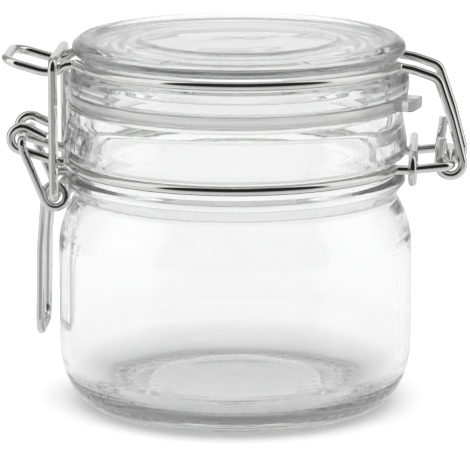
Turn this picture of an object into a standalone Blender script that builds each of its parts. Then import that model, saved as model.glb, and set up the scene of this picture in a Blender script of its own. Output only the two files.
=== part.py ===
"""Terrine jar with a hinged glass lid, shown closed and empty.

Metres, +Z up, the base resting on Z = 0 with the jar's axis at X = Y = 0.
+X is the hinge side, -X the clasp side, and every wire is symmetrical about Y = 0
except the two cut ends of the lid wire.

A pressed glass jar carries a collar wire in a groove under its lip. The collar's closed
loop on the right holds the two hooks of the lid wire, and its two ears on the left hold
the lever. The lever's coils carry the latch loop, which reaches over the tongue of the
lid wire and pulls the lid down on a flat rubber gasket.
"""
import math

import bpy
from mathutils import Vector

MM = 0.001

# Turned glass
STEPS = 56
BODY_R = 50.0
JAR_LIP_Z = 86.1
NECK_BORE_R = 42.6
LID_SHIFT_X = 1.0
LID_TOP_Z = 104.4

# Gasket between the jar's lip and the lid
GASKET_Z = 86.4
GASKET_THICK = 3.1
GASKET_INNER_R = 40.7
GASKET_OUTER_R = 47.6

# Wires: radius of the section, then where they run
WIRE = 1.35
LEVER_WIRE = 1.2
RING_WIRE = 1.2
COLLAR_R, COLLAR_Z = 47.2, 69.4
LID_WIRE_R, LID_WIRE_Z = 46.1, 97.9
EAR_Y, ARM_Y = 9.5, 14.4
LEVER_Y, HANDLE_Y = 12.4, 9.6
LATCH_Y, TONGUE_Y, HOOK_Y = 15.3, 12.0, 11.1

# Pivots in the X-Z plane
HINGE = (60.7, 70.7)
LEVER_PIVOT = (-59.2, 76.0)
LEVER_BEND = (-58.7, 73.0)
LATCH_PIVOT = (-49.9, 60.1)
EAR_R = 3.3
EYE_R = 3.3
HOOK_R = 3.35
LATCH_TOP_Z = 98.95


def clear():
    for ob in list(bpy.data.objects):
        bpy.data.objects.remove(ob, do_unlink=True)


def material(name, colour, metallic, roughness, transmission=0.0, ior=1.45):
    mat = bpy.data.materials.new(name)
    mat.use_nodes = True
    node = mat.node_tree.nodes["Principled BSDF"]
    node.inputs["Base Color"].default_value = (*colour, 1.0)
    node.inputs["Metallic"].default_value = metallic
    node.inputs["Roughness"].default_value = roughness
    node.inputs["Transmission Weight"].default_value = transmission
    node.inputs["IOR"].default_value = ior
    return mat


def turned(name, profile, mat, centre_x=0.0):
    """Turn an open (r, z) profile, listed from its inner axis end round to its outer one."""
    mesh = bpy.data.meshes.new(name)
    points = [(r * MM, 0.0, z * MM) for r, z in profile]
    mesh.from_pydata(points, [(i, i + 1) for i in range(len(points) - 1)], [])
    ob = bpy.data.objects.new(name, mesh)
    bpy.context.collection.objects.link(ob)
    mod = ob.modifiers.new("Turn", "SCREW")
    mod.axis = "Z"
    mod.angle = 2 * math.pi
    mod.steps = STEPS
    mod.render_steps = STEPS
    mod.use_merge_vertices = True
    mod.merge_threshold = 0.00001
    ob.location.x = centre_x * MM
    ob.data.materials.append(mat)
    return ob


def wire(name, points, radius, mat, closed=False):
    """A round wire along a line of points in mm."""
    curve = bpy.data.curves.new(name, "CURVE")
    curve.dimensions = "3D"
    curve.bevel_depth = radius * MM
    curve.bevel_resolution = 2
    curve.use_fill_caps = not closed
    spline = curve.splines.new("POLY")
    spline.points.add(len(points) - 1)
    for point, co in zip(spline.points, points):
        point.co = (*(Vector(co) * MM), 1.0)
    spline.use_cyclic_u = closed
    ob = bpy.data.objects.new(name, curve)
    bpy.context.collection.objects.link(ob)
    ob.data.materials.append(mat)
    return ob


def bent(corners, turn=15.0):
    """A line through (point, bend radius) corners, each corner rounded by an arc."""
    pts = [Vector(p) for p, _ in corners]
    out = [pts[0]]
    for i in range(1, len(pts) - 1):
        radius = corners[i][1]
        into = (pts[i] - pts[i - 1]).normalized()
        away = (pts[i + 1] - pts[i]).normalized()
        angle = into.angle(away)
        if radius <= 0.0 or angle < math.radians(3.0):
            out.append(pts[i])
            continue
        reach = radius * math.tan(angle / 2)
        start = pts[i] - into * reach
        side = (away - into * into.dot(away)).normalized()
        count = max(2, round(math.degrees(angle) / turn))
        for k in range(count + 1):
            a = angle * k / count
            out.append(start + into * radius * math.sin(a) + side * radius * (1 - math.cos(a)))
    out.append(pts[-1])
    return [tuple(p) for p in out]


def arc_xz(centre, radius, start, end, y, count, y_end=None):
    """Points on a circle in the X-Z plane, optionally drifting along Y like a coil."""
    out = []
    for k in range(count + 1):
        t = k / count
        a = math.radians(start + (end - start) * t)
        yy = y if y_end is None else y + (y_end - y) * t
        out.append((centre[0] + radius * math.cos(a), yy, centre[1] + radius * math.sin(a)))
    return out


def ring_arc(radius, z, centre_x, left_y, right_y, count):
    """The front half of a wire round the glass, from its left leaving point to its right."""
    a0 = math.pi + math.asin(left_y / radius)
    a1 = 2 * math.pi - math.asin(right_y / radius)
    out = []
    for k in range(count + 1):
        a = a0 + (a1 - a0) * k / count
        out.append((centre_x + radius * math.cos(a), radius * math.sin(a), z))
    return out


def mirror_back(points):
    """The same points behind Y = 0, in the opposite order."""
    return [(x, -y, z) for x, y, z in reversed(points)]


def arc_rz(r0, z0, radius_r, radius_z, start, end, count):
    """An elliptical arc of a turned profile."""
    out = []
    for k in range(count + 1):
        a = math.radians(start + (end - start) * k / count)
        out.append((r0 + radius_r * math.cos(a), z0 + radius_z * math.sin(a)))
    return out


def jar_glass(mat):
    inside = [(0.0, 6.6), (24.0, 6.2)] + arc_rz(37.7, 12.7, 9.0, 9.0, -101, 0, 5)
    inside += [(46.7, 45.0), (46.2, 50.2), (44.9, 54.6), (43.2, 58.6)]
    inside += [(NECK_BORE_R, 63.0), (NECK_BORE_R, 84.4), (43.2, 85.6)]
    lip = [(44.2, JAR_LIP_Z), (46.2, JAR_LIP_Z), (47.0, 85.3)]
    neck = [(47.2, 81.5), (48.2, 76.0), (48.4, 72.6), (47.6, 71.25), (45.4, 71.2)]
    bead = [(45.4, 66.4), (47.4, 65.3), (48.1, 63.9), (47.3, 62.2), (45.9, 60.9)]
    shoulder = [(45.6, 59.6), (46.5, 57.6), (47.9, 55.0), (49.0, 51.6), (49.75, 48.4)]
    body = [(BODY_R, 45.6)] + arc_rz(39.7, 18.3, 10.3, 18.3, 0, -60, 5)
    heel = [(42.9, 1.1), (36.6, 0.0)]
    base = [(34.4, 0.0), (33.0, 1.4), (26.3, 3.1), (25.2, 3.8), (0.0, 4.1)]
    outside = lip + neck + bead + shoulder + body + heel + base
    return turned("jar_glass", inside + outside, mat)


def lid_glass(mat):
    under = [(0.0, 99.5), (33.0, 99.1), (36.2, 97.0), (37.2, 84.6), (38.2, 83.6)]
    spigot = [(39.7, 83.6), (40.3, 84.2), (40.3, 89.8), (47.4, 89.8)]
    skirt = [(47.9, 90.3), (47.9, 93.4), (46.9, 95.2), (44.4, 95.9)]
    rim = [(44.4, 99.8), (46.1, 100.0), (46.8, 100.9), (46.8, 102.0)]
    rim += [(46.1, 103.5), (44.8, LID_TOP_Z - 0.1), (43.4, LID_TOP_Z), (41.4, LID_TOP_Z)]
    top = [(40.4, 103.0), (28.9, 103.1), (28.3, 103.7), (0.0, 104.0)]
    # the profile runs from the axis down the outside and back under
    down = list(reversed(top)) + list(reversed(rim)) + list(reversed(skirt))
    profile = down + list(reversed(spigot)) + list(reversed(under))
    return turned("lid_glass", profile, mat, LID_SHIFT_X)


def gasket(mat):
    """A flat ring cut from sheet rubber, with a pull tab between the hinge legs' planes."""
    curve = bpy.data.curves.new("gasket", "CURVE")
    curve.dimensions = "2D"
    curve.fill_mode = "BOTH"
    curve.extrude = GASKET_THICK / 2 * MM
    tab_a, tab_b, tab_r = -22.0, -9.0, 52.6
    outer = []
    for k in range(STEPS + 1):
        a = math.radians(tab_b + (360.0 + tab_a - tab_b) * k / STEPS)
        outer.append((GASKET_OUTER_R * math.cos(a), GASKET_OUTER_R * math.sin(a)))
    for a, r in ((tab_a, 51.6), (tab_a + 1.5, tab_r), (tab_b - 1.5, tab_r), (tab_b, 51.6)):
        a = math.radians(a)
        outer.append((r * math.cos(a), r * math.sin(a)))
    inner = []
    for k in range(STEPS):
        a = 2 * math.pi * k / STEPS
        inner.append((GASKET_INNER_R * math.cos(a), -GASKET_INNER_R * math.sin(a)))
    for loop in (outer, inner):
        spline = curve.splines.new("POLY")
        spline.points.add(len(loop) - 1)
        for point, (x, y) in zip(spline.points, loop):
            point.co = (x * MM, y * MM, 0.0, 1.0)
        spline.use_cyclic_u = True
    ob = bpy.data.objects.new("gasket", curve)
    bpy.context.collection.objects.link(ob)
    ob.location = (LID_SHIFT_X * MM, 0.0, (GASKET_Z + GASKET_THICK / 2) * MM)
    ob.data.materials.append(mat)
    return ob


def collar_wire(mat):
    """Ears round the lever pins, the groove round the neck, and the hinge loop."""
    px, pz = LEVER_PIVOT
    ear = [(px + 6.8, -EAR_Y, pz + 0.5)]
    ear += arc_xz(LEVER_PIVOT, EAR_R, 66, 257, -EAR_Y, 10)
    groove = ring_arc(COLLAR_R, COLLAR_Z, 0.0, EAR_Y, ARM_Y, 15)
    hx, hz = HINGE
    path = [(p, 0.0) for p in ear]
    path += [((-48.8, -EAR_Y, COLLAR_Z + 0.2), 4.0), (groove[0], 1.8)]
    path += [(p, 0.0) for p in groove[1:-1]]
    path += [(groove[-1], 1.8), ((49.0, -ARM_Y, COLLAR_Z), 0.0), ((hx, -ARM_Y, hz), 2.7)]
    path += [((hx, 0.0, hz), 0.0)]
    front = bent(path)
    return wire("collar_wire", front + mirror_back(front[:-1]), WIRE, mat)


def collar_ring(mat):
    """The oval link slipped over both arms of the hinge loop, close to the neck."""
    half_y, half_z, z0 = 17.3, 3.95, 69.75
    points = []
    for side in (1, -1):
        for k in range(9):
            a = math.radians(-90 + 180 * k / 8)
            y = side * (half_y - half_z + half_z * math.cos(a))
            points.append((50.2, y, z0 + side * half_z * math.sin(a)))
    return wire("collar_ring", points, RING_WIRE, mat, closed=True)


def lid_wire(mat):
    """Hook ends, two legs, the groove round the lid, and the tongue under the latch."""
    lean, leave = 14.0, 172.0

    def hook(y, stub):
        a = math.radians(leave)
        foot = (HINGE[0] + HOOK_R * math.cos(a), HINGE[1] + HOOK_R * math.sin(a))
        end = (foot[0] + stub * math.sin(a), y, foot[1] - stub * math.cos(a))
        curl = arc_xz(HINGE, HOOK_R, leave, 360.0 + lean, y, 12)
        return [(end, 0.0)] + [(p, 0.0) for p in curl]

    def leg(y):
        return [((60.9, y, 83.3), 9.0), ((57.0, y, 94.7), 3.5), ((49.9, y, 97.1), 6.0)]

    def tongue(y):
        out = [((-46.9, y, 97.3), 3.0), ((-49.7, y, 95.4), 4.0), ((-53.5, y, 95.7), 0.0)]
        return out + [((-63.8, y, 98.6), 5.5)]

    groove = [
        (LID_SHIFT_X - x + LID_SHIFT_X, y, z)
        for x, y, z in ring_arc(LID_WIRE_R, LID_WIRE_Z, LID_SHIFT_X, HOOK_Y, TONGUE_Y, 15)
    ]
    front = hook(-HOOK_Y, 6.8) + leg(-HOOK_Y) + [(groove[0], 1.8)]
    front += [(p, 0.0) for p in groove[1:-1]] + [(groove[-1], 1.8)] + tongue(-TONGUE_Y)
    rear = hook(HOOK_Y, 8.9) + leg(HOOK_Y)
    rear += [((p[0][0], -p[0][1], p[0][2]), p[1]) for p in front[len(rear):]]
    return wire("lid_wire", bent(front + list(reversed(rear))), WIRE, mat)


def lever_wire(mat):
    """Pins in the collar's ears, two arms, two coils round the latch, and the handle."""
    px, pz = LEVER_PIVOT
    qx, qz = LATCH_PIVOT
    # the arm meets the coil where the line from its bend is tangent to it
    bx, bz = LEVER_BEND
    away = math.atan2(bz - qz, bx - qx)
    reach = math.hypot(bz - qz, bx - qx)
    start = math.degrees(away + math.acos(EYE_R / reach))
    coil = arc_xz(LATCH_PIVOT, EYE_R, start, 538.0, -LEVER_Y, 15, -HANDLE_Y)
    path = [((px, -7.0, pz), 0.0), ((px, -LEVER_Y, pz), 1.3), ((bx, -LEVER_Y, bz), 3.0)]
    path += [(p, 0.0) for p in coil]
    path += [((-54.3, -HANDLE_Y, 45.0), 0.0), ((-54.8, -HANDLE_Y, 20.1), 4.5)]
    path += [((-54.8, 0.0, 20.1), 0.0)]
    front = bent(path, 22.5)
    return wire("lever_wire", front + mirror_back(front[:-1]), LEVER_WIRE, mat)


def latch_wire(mat):
    """The loop from the lever's coils up over the tongue of the lid wire."""
    qx, qz = LATCH_PIVOT
    path = [((qx, -7.4, qz), 0.0), ((qx, -LATCH_Y, qz), 1.7)]
    path += [((qx, -LATCH_Y, LATCH_TOP_Z), 2.7), ((qx, 0.0, LATCH_TOP_Z), 0.0)]
    front = bent(path, 22.5)
    return wire("latch_wire", front + mirror_back(front[:-1]), WIRE, mat)


def pivot(name, xz):
    """An empty on a joint's axis that the moving pieces hang from."""
    ob = bpy.data.objects.new(name, None)
    bpy.context.collection.objects.link(ob)
    ob.location = (xz[0] * MM, 0.0, xz[1] * MM)
    return ob


def hang(ob, parent):
    ob.parent = parent
    ob.location = ob.location - parent.location


clear()
glass = material("clear_glass", (0.95, 0.97, 0.96), 0.0, 0.02, 1.0, 1.5)
steel = material("bright_steel_wire", (0.72, 0.72, 0.71), 1.0, 0.18)
rubber = material("pale_rubber", (0.90, 0.90, 0.88), 0.0, 0.45)

jar_glass(glass)
collar_wire(steel)
collar_ring(steel)
lid = pivot("lid_axis", HINGE)
for piece in (lid_glass(glass), gasket(rubber), lid_wire(steel)):
    hang(piece, lid)
hang(lever_wire(steel), pivot("lever_axis", LEVER_PIVOT))
hang(latch_wire(steel), pivot("latch_axis", LATCH_PIVOT))
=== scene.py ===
"""Terrine jar: a clear glass jar with a hinged glass lid, a rubber gasket and bent wires.

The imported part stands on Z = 0 with the jar's axis at the origin, the hinge towards +X
and the clasp towards -X. Sizes below are in millimetres and are scaled as they are built.
"""

import math

import bmesh
import bpy
from mathutils import Matrix, Vector


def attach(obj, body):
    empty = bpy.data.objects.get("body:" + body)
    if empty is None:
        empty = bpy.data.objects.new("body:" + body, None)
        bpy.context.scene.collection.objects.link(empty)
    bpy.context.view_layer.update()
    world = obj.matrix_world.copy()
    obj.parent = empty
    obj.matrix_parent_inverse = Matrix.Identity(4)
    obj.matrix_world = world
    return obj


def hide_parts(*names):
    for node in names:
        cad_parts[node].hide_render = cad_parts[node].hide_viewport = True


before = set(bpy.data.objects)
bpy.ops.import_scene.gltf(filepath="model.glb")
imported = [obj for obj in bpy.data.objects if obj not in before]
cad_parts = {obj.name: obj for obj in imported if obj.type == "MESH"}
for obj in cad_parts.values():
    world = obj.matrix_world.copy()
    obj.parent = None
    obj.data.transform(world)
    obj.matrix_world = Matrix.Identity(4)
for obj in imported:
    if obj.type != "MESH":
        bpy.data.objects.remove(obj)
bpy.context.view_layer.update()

# Camera and studio.
# A long lens looks slightly down on the jar from a little to the right of its front.
# The jar stands on a white table under a wide soft light, with a dark space in front,
# where the camera stands, that the wires reflect as black lines.
azimuth = math.radians(3.66)
elevation = math.radians(12.27)
distance = 1.021
aim_height = 0.04715
picture_pixels = 470.0
focal_pixels = 3600.0
shift_pixels = -0.4
to_camera = Vector((
    math.sin(azimuth) * math.cos(elevation),
    -math.cos(azimuth) * math.cos(elevation),
    math.sin(elevation),
))
lens = bpy.data.cameras.new("camera")
lens.sensor_width = 36.0
lens.lens = focal_pixels * lens.sensor_width / picture_pixels
lens.shift_x = shift_pixels / picture_pixels
camera = bpy.data.objects.new("camera", lens)
bpy.context.collection.objects.link(camera)
camera.location = Vector((0.0, 0.0, aim_height)) + to_camera * distance
camera.rotation_euler = to_camera.to_track_quat("Z", "Y").to_euler()
bpy.context.scene.camera = camera
bpy.context.scene.view_settings.view_transform = "Standard"
# Light crosses and turns inside many glass walls here before it comes out again.
bpy.context.scene.cycles.max_bounces = 32
bpy.context.scene.cycles.glossy_bounces = 24
bpy.context.scene.cycles.transmission_bounces = 32


def node(tree, kind, **values):
    """A new shader node with its settings and unlinked input values."""
    new = tree.nodes.new(kind)
    for key, value in values.items():
        if hasattr(new, key):
            setattr(new, key, value)
        else:
            new.inputs[key.replace("_", " ")].default_value = value
    return new


def maths(tree, operation, a, b=None):
    """A Math node over two sockets or numbers; returns its output."""
    new = tree.nodes.new("ShaderNodeMath")
    new.operation = operation
    for i, value in enumerate((a, b)):
        if value is None:
            continue
        if isinstance(value, (int, float)):
            new.inputs[i].default_value = value
        else:
            tree.links.new(value, new.inputs[i])
    return new.outputs[0]


def ramp(tree, value, low, high, start=0.0, end=1.0):
    """A smooth step from start to end as a socket's value goes from low to high."""
    new = tree.nodes.new("ShaderNodeMapRange")
    new.interpolation_type = "SMOOTHSTEP"
    tree.links.new(value, new.inputs["Value"])
    new.inputs["From Min"].default_value = low
    new.inputs["From Max"].default_value = high
    new.inputs["To Min"].default_value = start
    new.inputs["To Max"].default_value = end
    return new.outputs[0]


world = bpy.data.worlds.new("studio")
bpy.context.scene.world = world
world.use_nodes = True
sky = world.node_tree
background = sky.nodes["Background"]
direction = node(sky, "ShaderNodeTexCoord")
split = node(sky, "ShaderNodeSeparateXYZ")
sky.links.new(direction.outputs["Generated"], split.inputs[0])
side, depth, height = split.outputs
# Degrees round from the middle of the dark front, and degrees up, for a direction in the
# studio. The dark front is turned a little to the right of the jar's own front.
degrees = math.degrees(1.0)
front_bearing = 9.0
forward = maths(sky, "MULTIPLY", depth, -1.0)
bearing = maths(sky, "MULTIPLY", maths(sky, "ARCTAN2", side, forward), degrees)
around = maths(sky, "ABSOLUTE", maths(sky, "SUBTRACT", bearing, front_bearing))
upward = maths(sky, "MULTIPLY", maths(sky, "ARCSINE", height), degrees)
low = maths(sky, "SUBTRACT", 1.0, ramp(sky, upward, -6.0, -2.0))
above = ramp(sky, upward, 62.0, 84.0)


def blended(tree, share, first, second):
    """One value where the share is 0 and the other where it is 1."""
    new = node(tree, "ShaderNodeMix", data_type="FLOAT")
    tree.links.new(share, new.inputs[0])
    for i, value in ((2, first), (3, second)):
        if isinstance(value, (int, float)):
            new.inputs[i].default_value = value
        else:
            tree.links.new(value, new.inputs[i])
    return new.outputs[0]


# What the gloss of glass and wire sees: a dark front, bright side screens, grey corners at
# the back with a white sheet between them, a bright ceiling, and a grey table near the camera.
walls = blended(sky, ramp(sky, around, 55.0, 62.0), 0.02, 1.0)
walls = blended(sky, ramp(sky, around, 98.0, 116.0), walls, 0.32)
walls = blended(sky, ramp(sky, around, 150.0, 166.0), walls, 0.80)
walls = blended(sky, above, walls, 0.55)
ground = blended(sky, ramp(sky, upward, -26.0, -15.0), 0.72, 0.40)
ground = blended(sky, ramp(sky, around, 42.0, 62.0), ground, 0.80)
gloss = blended(sky, low, walls, ground)
# What is seen through glass: white all round, a little dimmer towards the camera.
through = ramp(sky, around, 50.0, 90.0, 0.25, 0.92)
through = blended(sky, above, through, 1.0)
# What lights the table and the rubber: soft light from high up. The world isn't sampled as
# a lamp, so that each ray finds the part of the studio that is meant for its kind.
soft = ramp(sky, upward, 30.0, 60.0, 0.12, 1.85)
path = node(sky, "ShaderNodeLightPath")
seen = blended(sky, path.outputs["Is Transmission Ray"], gloss, through)
scattered = maths(sky, "GREATER_THAN", path.outputs["Diffuse Depth"], 0.5)
seen = blended(sky, scattered, seen, soft)
sky.links.new(blended(sky, path.outputs["Is Camera Ray"], seen, 1.0), background.inputs["Color"])
background.inputs["Strength"].default_value = 1.0
world.cycles.sampling_method = "NONE"

table_radius, table_drop = 6.0, 0.0002
table_mesh = bmesh.new()
bmesh.ops.create_circle(table_mesh, cap_ends=True, segments=96, radius=table_radius)
bmesh.ops.translate(table_mesh, verts=table_mesh.verts, vec=(0.0, 0.0, -table_drop))
table_data = bpy.data.meshes.new("table_top")
table_mesh.to_mesh(table_data)
table_mesh.free()
table_top = bpy.data.objects.new("table_top", table_data)
bpy.context.collection.objects.link(table_top)
white = bpy.data.materials.new("white_table")
white.use_nodes = True
paint = white.node_tree.nodes["Principled BSDF"]
paint.inputs["Base Color"].default_value = (0.93, 0.93, 0.93, 1.0)
paint.inputs["Roughness"].default_value = 0.8
paint.inputs["Specular IOR Level"].default_value = 0.1
paint.inputs["Emission Color"].default_value = (1.0, 1.0, 1.0, 1.0)
# The table glows a little from below, as a light table does, so it reads evenly white to the
# camera. Through the glass a painted pool of light glows on the patch inside the jar's foot, in
# place of the light a real jar gathers there.
glow_seen, painted_light_under_jar = 0.27, 0.30
foot_inner, foot_outer = 0.033, 0.041
table_tree = white.node_tree
looked_at = node(table_tree, "ShaderNodeLightPath")
spot = node(table_tree, "ShaderNodeVectorMath", operation="LENGTH")
table_tree.links.new(node(table_tree, "ShaderNodeTexCoord").outputs["Object"], spot.inputs[0])
# Painted light: a bright glowing disc inside the jar's foot, seen only through the glass.
painted_light_patch = ramp(table_tree, spot.outputs["Value"], foot_inner, foot_outer, painted_light_under_jar, 0.0)
painted_light_patch = maths(table_tree, "MULTIPLY", looked_at.outputs["Is Transmission Ray"], painted_light_patch)
glow = maths(table_tree, "MULTIPLY", looked_at.outputs["Is Camera Ray"], glow_seen)
table_tree.links.new(maths(table_tree, "ADD", glow, painted_light_patch), paint.inputs["Emission Strength"])
table_data.materials.append(white)
table_top.visible_glossy = False

# A large soft box hangs over the table, a little in front of the jar.
top_light = bpy.data.lights.new("top_softbox", "AREA")
top_light.shape = "RECTANGLE"
top_light.size = 1.6
top_light.size_y = 1.6
top_light.energy = 4.8
top_lamp = bpy.data.objects.new("top_softbox", top_light)
bpy.context.collection.objects.link(top_lamp)
top_lamp.location = (0.0, -0.30, 1.25)
top_lamp.visible_glossy = False

# Jar.
# The jar is one piece of pressed soda-lime glass with a smooth body, a narrow shoulder,
# a grooved neck for the collar wire and a flat lip. It stands on a ring round a pushed-up
# base, with a knurled chamfer outside the ring. The mould leaves the surface faintly wavy.


def bent(corners, turn=5.0):
    """A line through (point, bend radius) corners, each corner rounded by an arc."""
    points = [Vector(p) for p, _ in corners]
    out = [points[0]]
    for i in range(1, len(points) - 1):
        radius = corners[i][1]
        into = (points[i] - points[i - 1]).normalized()
        away = (points[i + 1] - points[i]).normalized()
        angle = into.angle(away)
        if radius <= 0.0 or angle < math.radians(0.5):
            out.append(points[i])
            continue
        reach = radius * math.tan(angle / 2)
        start = points[i] - into * reach
        inward = (away - into * into.dot(away)).normalized()
        count = max(2, math.ceil(math.degrees(angle) / turn))
        for k in range(count + 1):
            a = angle * k / count
            out.append(start + into * radius * math.sin(a) + inward * radius * (1 - math.cos(a)))
    out.append(points[-1])
    return out


def supported(points, gap=0.25, longest=3.0):
    """The same line with extra points close to each end of a long straight run."""
    out = [points[0]]
    for a, b in zip(points, points[1:]):
        run = (b - a).length
        if run > 3 * gap:
            way = (b - a) / run
            inner = run - 2 * gap
            count = max(1, math.ceil(inner / longest))
            for k in range(count + 1):
                out.append(a + way * (gap + inner * k / count))
        out.append(b)
    return out


def finish_piece(name, bm, mat, body, stands_for, centre_x=0.0):
    """Scale a mesh from millimetres, shade it smooth, and put it on its body."""
    bmesh.ops.translate(bm, verts=bm.verts, vec=(centre_x, 0.0, 0.0))
    bmesh.ops.scale(bm, verts=bm.verts, vec=(0.001, 0.001, 0.001))
    data = bpy.data.meshes.new(name)
    bm.to_mesh(data)
    bm.free()
    data.polygons.foreach_set("use_smooth", [True] * len(data.polygons))
    data.materials.append(mat)
    piece = bpy.data.objects.new(name, data)
    bpy.context.collection.objects.link(piece)
    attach(piece, body)
    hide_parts(stands_for)


def turned(profile, steps):
    """A closed mesh turned about Z from a line of (r, 0, z) points.

    An eighth is spun, and is then copied round the axis until the turn is full.
    """
    bm = bmesh.new()
    line = [bm.verts.new(p) for p in profile]
    edges = [bm.edges.new(pair) for pair in zip(line, line[1:])]
    bmesh.ops.spin(bm, geom=line + edges, cent=(0, 0, 0), axis=(0, 0, 1),
                   angle=math.tau / 8, steps=steps // 8)
    for part in (8, 4, 2):
        made = bmesh.ops.duplicate(bm, geom=bm.verts[:] + bm.edges[:] + bm.faces[:])["geom"]
        copied = [g for g in made if isinstance(g, bmesh.types.BMVert)]
        bmesh.ops.rotate(bm, verts=copied, cent=(0, 0, 0),
                         matrix=Matrix.Rotation(math.tau / part, 3, "Z"))
    bmesh.ops.remove_doubles(bm, verts=bm.verts, dist=0.002)
    bmesh.ops.recalc_face_normals(bm, faces=bm.faces)
    return bm


def glass_waves():
    """A group that gives the slow waves and fine streaks of pressed glass as a height."""
    group = bpy.data.node_groups.new("pressed_glass_waves", "ShaderNodeTree")
    group.interface.new_socket("Wave size", in_out="INPUT", socket_type="NodeSocketFloat")
    group.interface.new_socket("Streaks", in_out="INPUT", socket_type="NodeSocketFloat")
    group.interface.new_socket("Neck ripples", in_out="INPUT", socket_type="NodeSocketFloat")
    group.interface.new_socket("Height", in_out="OUTPUT", socket_type="NodeSocketFloat")
    enter = group.nodes.new("NodeGroupInput")
    leave = group.nodes.new("NodeGroupOutput")
    place = group.nodes.new("ShaderNodeTexCoord")
    slow = node(group, "ShaderNodeTexNoise", Detail=1.0, Roughness=0.4)
    group.links.new(place.outputs["Object"], slow.inputs["Vector"])
    group.links.new(enter.outputs[0], slow.inputs["Scale"])
    flat = node(group, "ShaderNodeMapping")
    flat.inputs["Scale"].default_value = (60.0, 60.0, 420.0)
    group.links.new(place.outputs["Object"], flat.inputs["Vector"])
    fine = node(group, "ShaderNodeTexNoise", Scale=1.0, Detail=2.0, Roughness=0.5)
    group.links.new(flat.outputs[0], fine.inputs["Vector"])
    streak = maths(group, "MULTIPLY", fine.outputs["Fac"], enter.outputs[1])
    total = maths(group, "ADD", slow.outputs["Fac"], streak)
    # The neck is pressed by the ring mould, which leaves it more rippled than the body.
    upright = node(group, "ShaderNodeMapping")
    upright.inputs["Scale"].default_value = (520.0, 520.0, 170.0)
    group.links.new(place.outputs["Object"], upright.inputs["Vector"])
    ripple = node(group, "ShaderNodeTexNoise", Scale=1.0, Detail=3.0, Roughness=0.6)
    group.links.new(upright.outputs[0], ripple.inputs["Vector"])
    spot = node(group, "ShaderNodeSeparateXYZ")
    group.links.new(place.outputs["Object"], spot.inputs[0])
    neck = maths(group, "MULTIPLY", ramp(group, spot.outputs[2], 0.060, 0.066),
                 ramp(group, spot.outputs[2], 0.077, 0.083, 1.0, 0.0))
    rough_neck = maths(group, "MULTIPLY", maths(group, "MULTIPLY", neck, ripple.outputs["Fac"]),
                       enter.outputs[2])
    group.links.new(maths(group, "ADD", total, rough_neck), leave.inputs[0])
    return group


waves = glass_waves()


def clear_glass(name, wave_size, streaks, neck_ripples, relief):
    """Clear glass with the waves of its mould in its surface."""
    mat = bpy.data.materials.new(name)
    mat.use_nodes = True
    tree = mat.node_tree
    shader = tree.nodes["Principled BSDF"]
    shader.inputs["Base Color"].default_value = (0.985, 0.987, 0.986, 1.0)
    shader.inputs["Roughness"].default_value = 0.0
    shader.inputs["IOR"].default_value = 1.5
    shader.inputs["Metallic"].default_value = 0.0
    shader.inputs["Transmission Weight"].default_value = 1.0
    wavy = tree.nodes.new("ShaderNodeGroup")
    wavy.node_tree = waves
    wavy.inputs[0].default_value = wave_size
    wavy.inputs[1].default_value = streaks
    wavy.inputs[2].default_value = neck_ripples
    bump = tree.nodes.new("ShaderNodeBump")
    bump.inputs["Strength"].default_value = 1.0
    bump.inputs["Distance"].default_value = relief
    tree.links.new(wavy.outputs[0], bump.inputs["Height"])
    tree.links.new(bump.outputs[0], shader.inputs["Normal"])
    body = tree.nodes.new("ShaderNodeVolumeAbsorption")
    body.inputs["Color"].default_value = (0.30, 0.315, 0.308, 1.0)
    body.inputs["Density"].default_value = 10.0
    tree.links.new(body.outputs[0], tree.nodes["Material Output"].inputs["Volume"])
    return mat


def arc(centre_r, centre_z, radius_r, radius_z, start, end, count):
    """Points of an ellipse's arc in a turned profile."""
    out = []
    for k in range(count + 1):
        a = math.radians(start + (end - start) * k / count)
        out.append(Vector((centre_r + radius_r * math.cos(a), 0.0,
                           centre_z + radius_z * math.sin(a))))
    return out


def profile_line(corners):
    """The line of a turned profile through (r, z, bend radius) corners."""
    return bent([((r, 0.0, z), radius) for r, z, radius in corners], 9.0)


jar_inside = profile_line([
    (0.0, 6.6, 0), (22.0, 6.6, 40), (46.7, 1.8, 9.0), (46.7, 49.5, 16), (42.6, 60.2, 12),
    (42.6, 86.1, 1.3), (44.6, 86.1, 0),
])
jar_outside = profile_line([
    (44.7, 86.1, 0), (47.15, 86.1, 1.0), (47.2, 82.0, 8), (48.3, 76.0, 9), (48.45, 71.3, 1.1),
    (45.4, 71.15, 0.5), (45.4, 66.3, 0.7), (47.6, 65.4, 1.2), (48.25, 64.0, 1.2),
    (46.6, 62.0, 1.6), (45.6, 60.4, 1.6), (45.8, 58.9, 1.6), (46.9, 56.8, 5), (48.1, 54.4, 7),
    (49.2, 51.0, 10), (49.9, 47.6, 16), (50.0, 43.0, 20), (50.0, 18.3, 0),
])
jar_heel = arc(39.7, 18.3, 10.3, 18.3, 0.0, -60.0, 15)
jar_base = profile_line([
    (jar_heel[-1].x, jar_heel[-1].z, 0), (42.9, 1.1, 1.5), (40.6, 0.7, 0), (40.2, 0.63, 0),
    (37.0, 0.07, 0), (36.6, 0.0, 0), (34.4, 0.0, 0.7), (33.0, 1.4, 0.9), (26.9, 3.0, 2.5),
    (24.8, 3.85, 2.5), (0.0, 4.1, 0),
])
jar_profile = jar_inside + jar_outside[:-1] + jar_heel[:-1] + jar_base
jar_steps = 320
jar_mesh = turned(supported(jar_profile), jar_steps)
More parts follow.
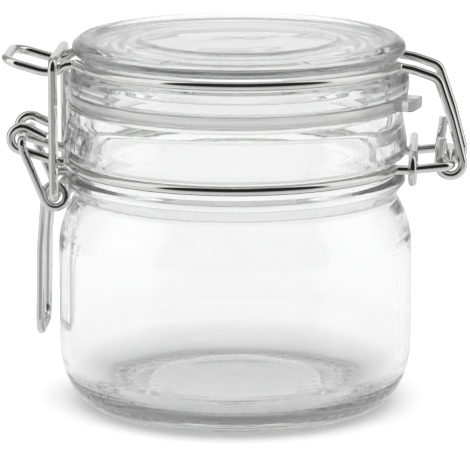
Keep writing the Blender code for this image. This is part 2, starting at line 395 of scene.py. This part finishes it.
# The knurl: on the chamfer, two lines of points in every five are raised between the ribs.
knurl_inner, knurl_outer, knurl_top, knurl_depth = 36.9, 40.3, 0.8, 0.45
lines_in_rib, lines_raised = 5, 2
for vert in jar_mesh.verts:
    r = math.hypot(vert.co.x, vert.co.y)
    if knurl_inner < r < knurl_outer and vert.co.z < knurl_top:
        turn = round(math.atan2(vert.co.y, vert.co.x) / math.tau * jar_steps)
        if turn % lines_in_rib < lines_raised:
            vert.co.z += knurl_depth
jar_clear = clear_glass("jar_glass_clear", 34.0, 0.05, 0.22, 0.0002)
finish_piece("jar_body", jar_mesh, jar_clear, "jar", "jar_glass")

# Collar wire.
# One bright drawn steel wire, bent cold. It runs round the neck in its groove, makes two
# ears on the left for the lever's pins, and a closed loop on the right for the lid's hooks.


def arc_xz(centre, radius, start, end, y, count, y_end=None):
    """Points on a circle in the X-Z plane, drifting along Y where the wire makes a coil."""
    out = []
    for k in range(count + 1):
        t = k / count
        a = math.radians(start + (end - start) * t)
        drift = y if y_end is None else y + (y_end - y) * t
        out.append(Vector((centre[0] + radius * math.cos(a), drift,
                           centre[1] + radius * math.sin(a))))
    return out


def round_the_glass(radius, z, centre_x, left_y, right_y):
    """The front half of a wire in a groove, from where it leaves on the left to the right."""
    a0 = math.pi + math.asin(left_y / radius)
    a1 = math.tau - math.asin(right_y / radius)
    count = 72
    out = []
    for k in range(count + 1):
        a = a0 + (a1 - a0) * k / count
        out.append(Vector((centre_x + radius * math.cos(a), radius * math.sin(a), z)))
    return out


def mirrored(points):
    """The same line on the rear side, in reverse order."""
    return [Vector((p.x, -p.y, p.z)) for p in reversed(points)]


def corner(point, radius):
    """A corner with its bend radius."""
    return (Vector(point), radius)


def plain_points(points):
    """Points that need no bend, because they already follow a curve."""
    return [(p, 0.0) for p in points]


def wire_mesh(points, radius, closed=False, sides=24, cut=0.22):
    """A round wire drawn along a line of points; an open one has sawn, eased ends."""
    line = [points[0]]
    for p in points[1:]:
        if (p - line[-1]).length > 0.02:
            line.append(p)
    if closed and (line[0] - line[-1]).length < 0.02:
        line.pop()
    count = len(line)
    ways = []
    for i in range(count):
        before = line[i - 1] if closed or i > 0 else line[i]
        after = line[(i + 1) % count] if closed or i < count - 1 else line[i]
        ways.append((after - before).normalized())
    bm = bmesh.new()
    first = Matrix.Translation(line[0]) @ ways[0].to_track_quat("Z", "Y").to_matrix().to_4x4()
    bmesh.ops.create_circle(bm, cap_ends=False, segments=sides, radius=radius, matrix=first)
    start_edges = list(bm.edges)
    edges = start_edges
    for i in range(1, count):
        made = bmesh.ops.extrude_edge_only(bm, edges=edges)["geom"]
        verts = [g for g in made if isinstance(g, bmesh.types.BMVert)]
        edges = [g for g in made if isinstance(g, bmesh.types.BMEdge)]
        bmesh.ops.translate(bm, verts=verts, vec=line[i] - line[i - 1])
        turn = ways[i - 1].rotation_difference(ways[i])
        bmesh.ops.rotate(bm, verts=verts, cent=line[i], matrix=turn.to_matrix())
    if closed:
        bmesh.ops.bridge_loops(bm, edges=edges + start_edges)
    else:
        for loop, end, way in ((start_edges, line[0], -ways[0]), (edges, line[-1], ways[-1])):
            made = bmesh.ops.extrude_edge_only(bm, edges=loop)["geom"]
            verts = [g for g in made if isinstance(g, bmesh.types.BMVert)]
            edge_ring = [g for g in made if isinstance(g, bmesh.types.BMEdge)]
            for v in verts:
                v.co = end + (v.co - end) * (1 - cut / radius)
            bmesh.ops.contextual_create(bm, geom=edge_ring)
            for e in loop + edge_ring:
                e.smooth = False
            shift = [v for e in loop for v in e.verts]
            bmesh.ops.translate(bm, verts=list(set(shift)), vec=-way * cut * 0.6)
    bmesh.ops.recalc_face_normals(bm, faces=bm.faces)
    return bm


def drawn_steel():
    """A group with the faint die lines, smears and tone of bright drawn wire."""
    group = bpy.data.node_groups.new("drawn_wire_finish", "ShaderNodeTree")
    group.interface.new_socket("Tone", in_out="INPUT", socket_type="NodeSocketColor")
    group.interface.new_socket("Color", in_out="OUTPUT", socket_type="NodeSocketColor")
    group.interface.new_socket("Roughness", in_out="OUTPUT", socket_type="NodeSocketFloat")
    group.interface.new_socket("Height", in_out="OUTPUT", socket_type="NodeSocketFloat")
    enter = group.nodes.new("NodeGroupInput")
    leave = group.nodes.new("NodeGroupOutput")
    place = group.nodes.new("ShaderNodeTexCoord")
    smear = node(group, "ShaderNodeTexNoise", Scale=260.0, Detail=3.0, Roughness=0.6)
    group.links.new(place.outputs["Object"], smear.inputs["Vector"])
    grain = node(group, "ShaderNodeTexNoise", Scale=2600.0, Detail=2.0, Roughness=0.5)
    group.links.new(place.outputs["Object"], grain.inputs["Vector"])
    tone = node(group, "ShaderNodeMix", data_type="RGBA", blend_type="MULTIPLY")
    fade = ramp(group, smear.outputs["Fac"], 0.3, 0.7, 0.0, 0.12)
    group.links.new(fade, tone.inputs[0])
    group.links.new(enter.outputs[0], tone.inputs[6])
    tone.inputs[7].default_value = (0.55, 0.55, 0.56, 1.0)
    group.links.new(tone.outputs[2], leave.inputs[0])
    group.links.new(ramp(group, smear.outputs["Fac"], 0.25, 0.75, 0.04, 0.12), leave.inputs[1])
    group.links.new(grain.outputs["Fac"], leave.inputs[2])
    return group


wire_finish = drawn_steel()


def steel(name, tone):
    """Bright drawn steel."""
    mat = bpy.data.materials.new(name)
    mat.use_nodes = True
    tree = mat.node_tree
    shader = tree.nodes["Principled BSDF"]
    shader.inputs["Metallic"].default_value = 1.0
    drawn = tree.nodes.new("ShaderNodeGroup")
    drawn.node_tree = wire_finish
    drawn.inputs[0].default_value = (*tone, 1.0)
    tree.links.new(drawn.outputs[0], shader.inputs["Base Color"])
    tree.links.new(drawn.outputs[1], shader.inputs["Roughness"])
    bump = tree.nodes.new("ShaderNodeBump")
    bump.inputs["Strength"].default_value = 0.12
    bump.inputs["Distance"].default_value = 0.00003
    tree.links.new(drawn.outputs[2], bump.inputs["Height"])
    tree.links.new(bump.outputs[0], shader.inputs["Normal"])
    return mat


thick_wire, thin_wire = 1.35, 1.2
lever_pivot = (-59.2, 76.0)
hinge = (60.7, 70.7)
ear_y, arm_y, groove_z = -9.5, -14.4, 69.4
ear = [Vector((-52.4, ear_y, 76.5))] + arc_xz(lever_pivot, 3.3, 66, 257, ear_y, 36)
collar_groove = round_the_glass(47.2, groove_z, 0.0, -ear_y, -arm_y)
collar_front = plain_points(ear)
collar_front += [corner((-48.8, ear_y, 69.6), 4.0), (collar_groove[0], 1.8)]
collar_front += plain_points(collar_groove[1:-1])
collar_front += [(collar_groove[-1], 1.8), corner((49.0, arm_y, groove_z), 6.0)]
collar_front += [corner((hinge[0], arm_y, hinge[1]), 2.7), corner((hinge[0], 0.0, hinge[1]), 0)]
collar_line = bent(collar_front)
collar_line = collar_line + mirrored(collar_line[:-1])
finish_piece("collar", wire_mesh(collar_line, thick_wire),
             steel("collar_steel", (0.80, 0.80, 0.79)), "jar", "collar_wire")

# Retaining ring.
# An oval link of thinner wire, closed round both arms of the hinge loop close to the neck,
# which draws them together so that the collar stays in its groove.
link_x, link_z, link_half, link_radius, link_steps = 50.2, 69.75, 13.35, 3.95, 24
link_line = []
for side_y in (1, -1):
    for k in range(link_steps + 1):
        a = math.radians(-90 + 180 * k / link_steps)
        link_line.append(Vector((link_x, side_y * (link_half + link_radius * math.cos(a)),
                                 link_z + side_y * link_radius * math.sin(a))))
finish_piece("retaining_ring", wire_mesh(link_line, thin_wire, closed=True),
             steel("ring_steel", (0.74, 0.74, 0.74)), "jar", "collar_ring")

# Gasket.
# A flat ring cut from translucent white rubber with a pull tab, laid between the jar's lip
# and the lid. Its edges are slightly rounded.
gasket_outer, gasket_inner, gasket_steps = 47.6, 40.7, 180
gasket_bottom, gasket_thickness, gasket_edge = 86.4, 3.1, 0.35
tab_from, tab_to, tab_r = -22.0, -9.0, 52.6


def round_point(r, a):
    """A flat point at a radius and an angle in radians."""
    return Vector((r * math.cos(a), r * math.sin(a), 0.0))


gasket_mesh = bmesh.new()
ring_outer = []
for k in range(gasket_steps + 1):
    a = math.radians(tab_to + (360.0 + tab_from - tab_to) * k / gasket_steps)
    ring_outer.append(round_point(gasket_outer, a))
tab = [(tab_from, 47.9), (tab_from + 0.4, 50.0), (tab_from, 51.6), (tab_from + 1.2, 52.4)]
tab += [(tab_from + 2.5, tab_r), (-15.5, tab_r), (tab_to - 2.5, tab_r), (tab_to - 1.2, 52.4)]
tab += [(tab_to, 51.6), (tab_to - 0.4, 50.0), (tab_to, 47.9)]
for a, r in tab:
    ring_outer.append(round_point(r, math.radians(a)))
ring_inner = []
for k in range(gasket_steps):
    ring_inner.append(round_point(gasket_inner, math.tau * k / gasket_steps))
outline_edges = []
for loop in (ring_outer, ring_inner):
    verts = [gasket_mesh.verts.new(p) for p in loop]
    for i, v in enumerate(verts):
        outline_edges.append(gasket_mesh.edges.new((v, verts[(i + 1) % len(verts)])))
bmesh.ops.triangle_fill(gasket_mesh, use_beauty=True, edges=outline_edges)
lifted = bmesh.ops.extrude_face_region(gasket_mesh, geom=list(gasket_mesh.faces))["geom"]
raised = [g for g in lifted if isinstance(g, bmesh.types.BMVert)]
bmesh.ops.translate(gasket_mesh, verts=raised, vec=(0.0, 0.0, gasket_thickness))
bmesh.ops.recalc_face_normals(gasket_mesh, faces=gasket_mesh.faces)
sharp = [e for e in gasket_mesh.edges if len(e.link_faces) == 2
         and e.calc_face_angle(0.0) > math.radians(60)]
bmesh.ops.bevel(gasket_mesh, geom=sharp, offset=gasket_edge, affect="EDGES", segments=3,
                profile=0.5, material=-1)
bmesh.ops.translate(gasket_mesh, verts=gasket_mesh.verts, vec=(0.0, 0.0, gasket_bottom))
rubber = bpy.data.materials.new("translucent_rubber")
rubber.use_nodes = True
rubber_shader = rubber.node_tree.nodes["Principled BSDF"]
rubber_shader.inputs["Base Color"].default_value = (0.92, 0.92, 0.915, 1.0)
rubber_shader.inputs["Transmission Weight"].default_value = 0.7
rubber_shader.inputs["Roughness"].default_value = 0.08
rubber_shader.inputs["IOR"].default_value = 1.41
lid_centre_x = 1.0
finish_piece("sealing_ring", gasket_mesh, rubber, "lid", "gasket", lid_centre_x)

# Lid.
# The lid is pressed glass, hollow underneath, with a thick rounded rim, a groove for its
# wire and a skirt that bears on the gasket. Its top has a shallow sunk ring and a disc.
lid_outside = profile_line([
    (0.0, 104.05, 0), (27.6, 103.8, 4), (28.6, 103.2, 0.8), (39.6, 103.0, 3),
    (41.2, 104.4, 1.2), (44.4, 104.4, 2.2), (46.8, 102.6, 1.8), (46.8, 100.4, 0.9),
    (45.9, 99.85, 0.3), (44.4, 99.8, 0.4), (44.4, 95.95, 0.4), (46.9, 95.3, 1.6),
    (47.9, 93.2, 2.2), (47.9, 89.8, 0.5), (40.3, 89.8, 0.4), (40.3, 83.6, 0.6),
    (37.5, 83.6, 0.7), (36.6, 96.6, 2.5), (33.0, 99.2, 5), (0.0, 99.5, 0),
])
lid_mesh = turned(supported(lid_outside), 288)
lid_clear = clear_glass("lid_glass_clear", 40.0, 0.05, 0.0, 0.00015)
finish_piece("lid_glass_body", lid_mesh, lid_clear, "lid", "lid_glass",
             lid_centre_x)

# Lid wire.
# One wire with two hooks under the collar's hinge loop, legs that rise to the lid, a turn
# round the lid's groove, and a closed tongue on the left that the latch presses down.
hook_radius, lean, leave = 3.35, 14.0, 172.0
leg_y, tongue_y = 11.1, 12.0


def hook_and_leg(y, stub):
    """A cut end, the hook round the hinge and the leg up to the lid, on one side."""
    a = math.radians(leave)
    foot = (hinge[0] + hook_radius * math.cos(a), hinge[1] + hook_radius * math.sin(a))
    end = Vector((foot[0] + stub * math.sin(a), y, foot[1] - stub * math.cos(a)))
    curl = arc_xz(hinge, hook_radius, leave, 360.0 + lean, y, 40)
    out = plain_points([end] + curl)
    out += [corner((60.9, y, 83.3), 9.0), corner((57.0, y, 94.7), 3.5)]
    return out + [corner((49.9, y, 97.1), 6.0)]


def tongue(y):
    """The corners of the tongue on one side, from the lid outwards."""
    out = [corner((-46.9, y, 97.3), 3.0), corner((-49.7, y, 95.4), 4.0)]
    return out + [corner((-53.5, y, 95.7), 12.0), corner((-63.8, y, 98.6), 5.5)]


lid_groove = []
for p in round_the_glass(46.1, 97.9, 0.0, leg_y, tongue_y):
    lid_groove.append(Vector((lid_centre_x - p.x, p.y, p.z)))
front = [(lid_groove[0], 1.8)] + plain_points(lid_groove[1:-1]) + [(lid_groove[-1], 1.8)]
front += tongue(-tongue_y)
rear = [(Vector((p.x, -p.y, p.z)), r) for p, r in reversed(front)]
lid_line = bent(hook_and_leg(-leg_y, 6.8) + front + rear + hook_and_leg(leg_y, 8.9)[::-1])
finish_piece("lid_bail", wire_mesh(lid_line, thick_wire),
             steel("lid_steel", (0.82, 0.82, 0.81)), "lid", "lid_wire")

# Lever.
# One thinner wire: pins through the collar's ears, two arms, a coil on each side round the
# ends of the latch, and a long closed handle that hangs beside the jar.
latch_pivot = (-49.9, 60.1)
lever_bend = (-58.7, 73.0)
coil_radius, coil_end = 3.15, 538.0
lever_y, handle_y = -12.4, -9.6
handle_x, handle_z = -54.8, 20.1
away = math.atan2(lever_bend[1] - latch_pivot[1], lever_bend[0] - latch_pivot[0])
reach = math.hypot(lever_bend[1] - latch_pivot[1], lever_bend[0] - latch_pivot[0])
coil_start = math.degrees(away + math.acos(coil_radius / reach))
coil = arc_xz(latch_pivot, coil_radius, coil_start, coil_end, lever_y, 64, handle_y)
lever_front = [corner((lever_pivot[0], -7.0, lever_pivot[1]), 0)]
lever_front += [corner((lever_pivot[0], lever_y, lever_pivot[1]), 1.3)]
lever_front += [corner((lever_bend[0], lever_y, lever_bend[1]), 3.0)]
lever_front += plain_points(coil)
lever_front += [corner((-54.3, handle_y, 45.0), 30.0)]
lever_front += [corner((handle_x, handle_y, handle_z), 4.5)]
lever_front += [corner((handle_x, 0.0, handle_z), 0)]
lever_line = bent(lever_front)
lever_line = lever_line + mirrored(lever_line[:-1])
finish_piece("lever", wire_mesh(lever_line, thin_wire),
             steel("lever_steel", (0.78, 0.78, 0.78)), "lever", "lever_wire")

# Latch.
# A loop of the thicker wire. Its two ends turn in through the lever's coils, and its top
# lies across the tongue of the lid wire.
latch_y, latch_top = -15.3, 98.95
latch_front = [corner((latch_pivot[0], -7.4, latch_pivot[1]), 0)]
latch_front += [corner((latch_pivot[0], latch_y, latch_pivot[1]), 1.7)]
latch_front += [corner((latch_pivot[0], latch_y, latch_top), 2.7)]
latch_front += [corner((latch_pivot[0], 0.0, latch_top), 0)]
latch_line = bent(latch_front)
latch_line = latch_line + mirrored(latch_line[:-1])
finish_piece("latch", wire_mesh(latch_line, thick_wire),
             steel("latch_steel", (0.80, 0.80, 0.79)), "latch", "latch_wire")
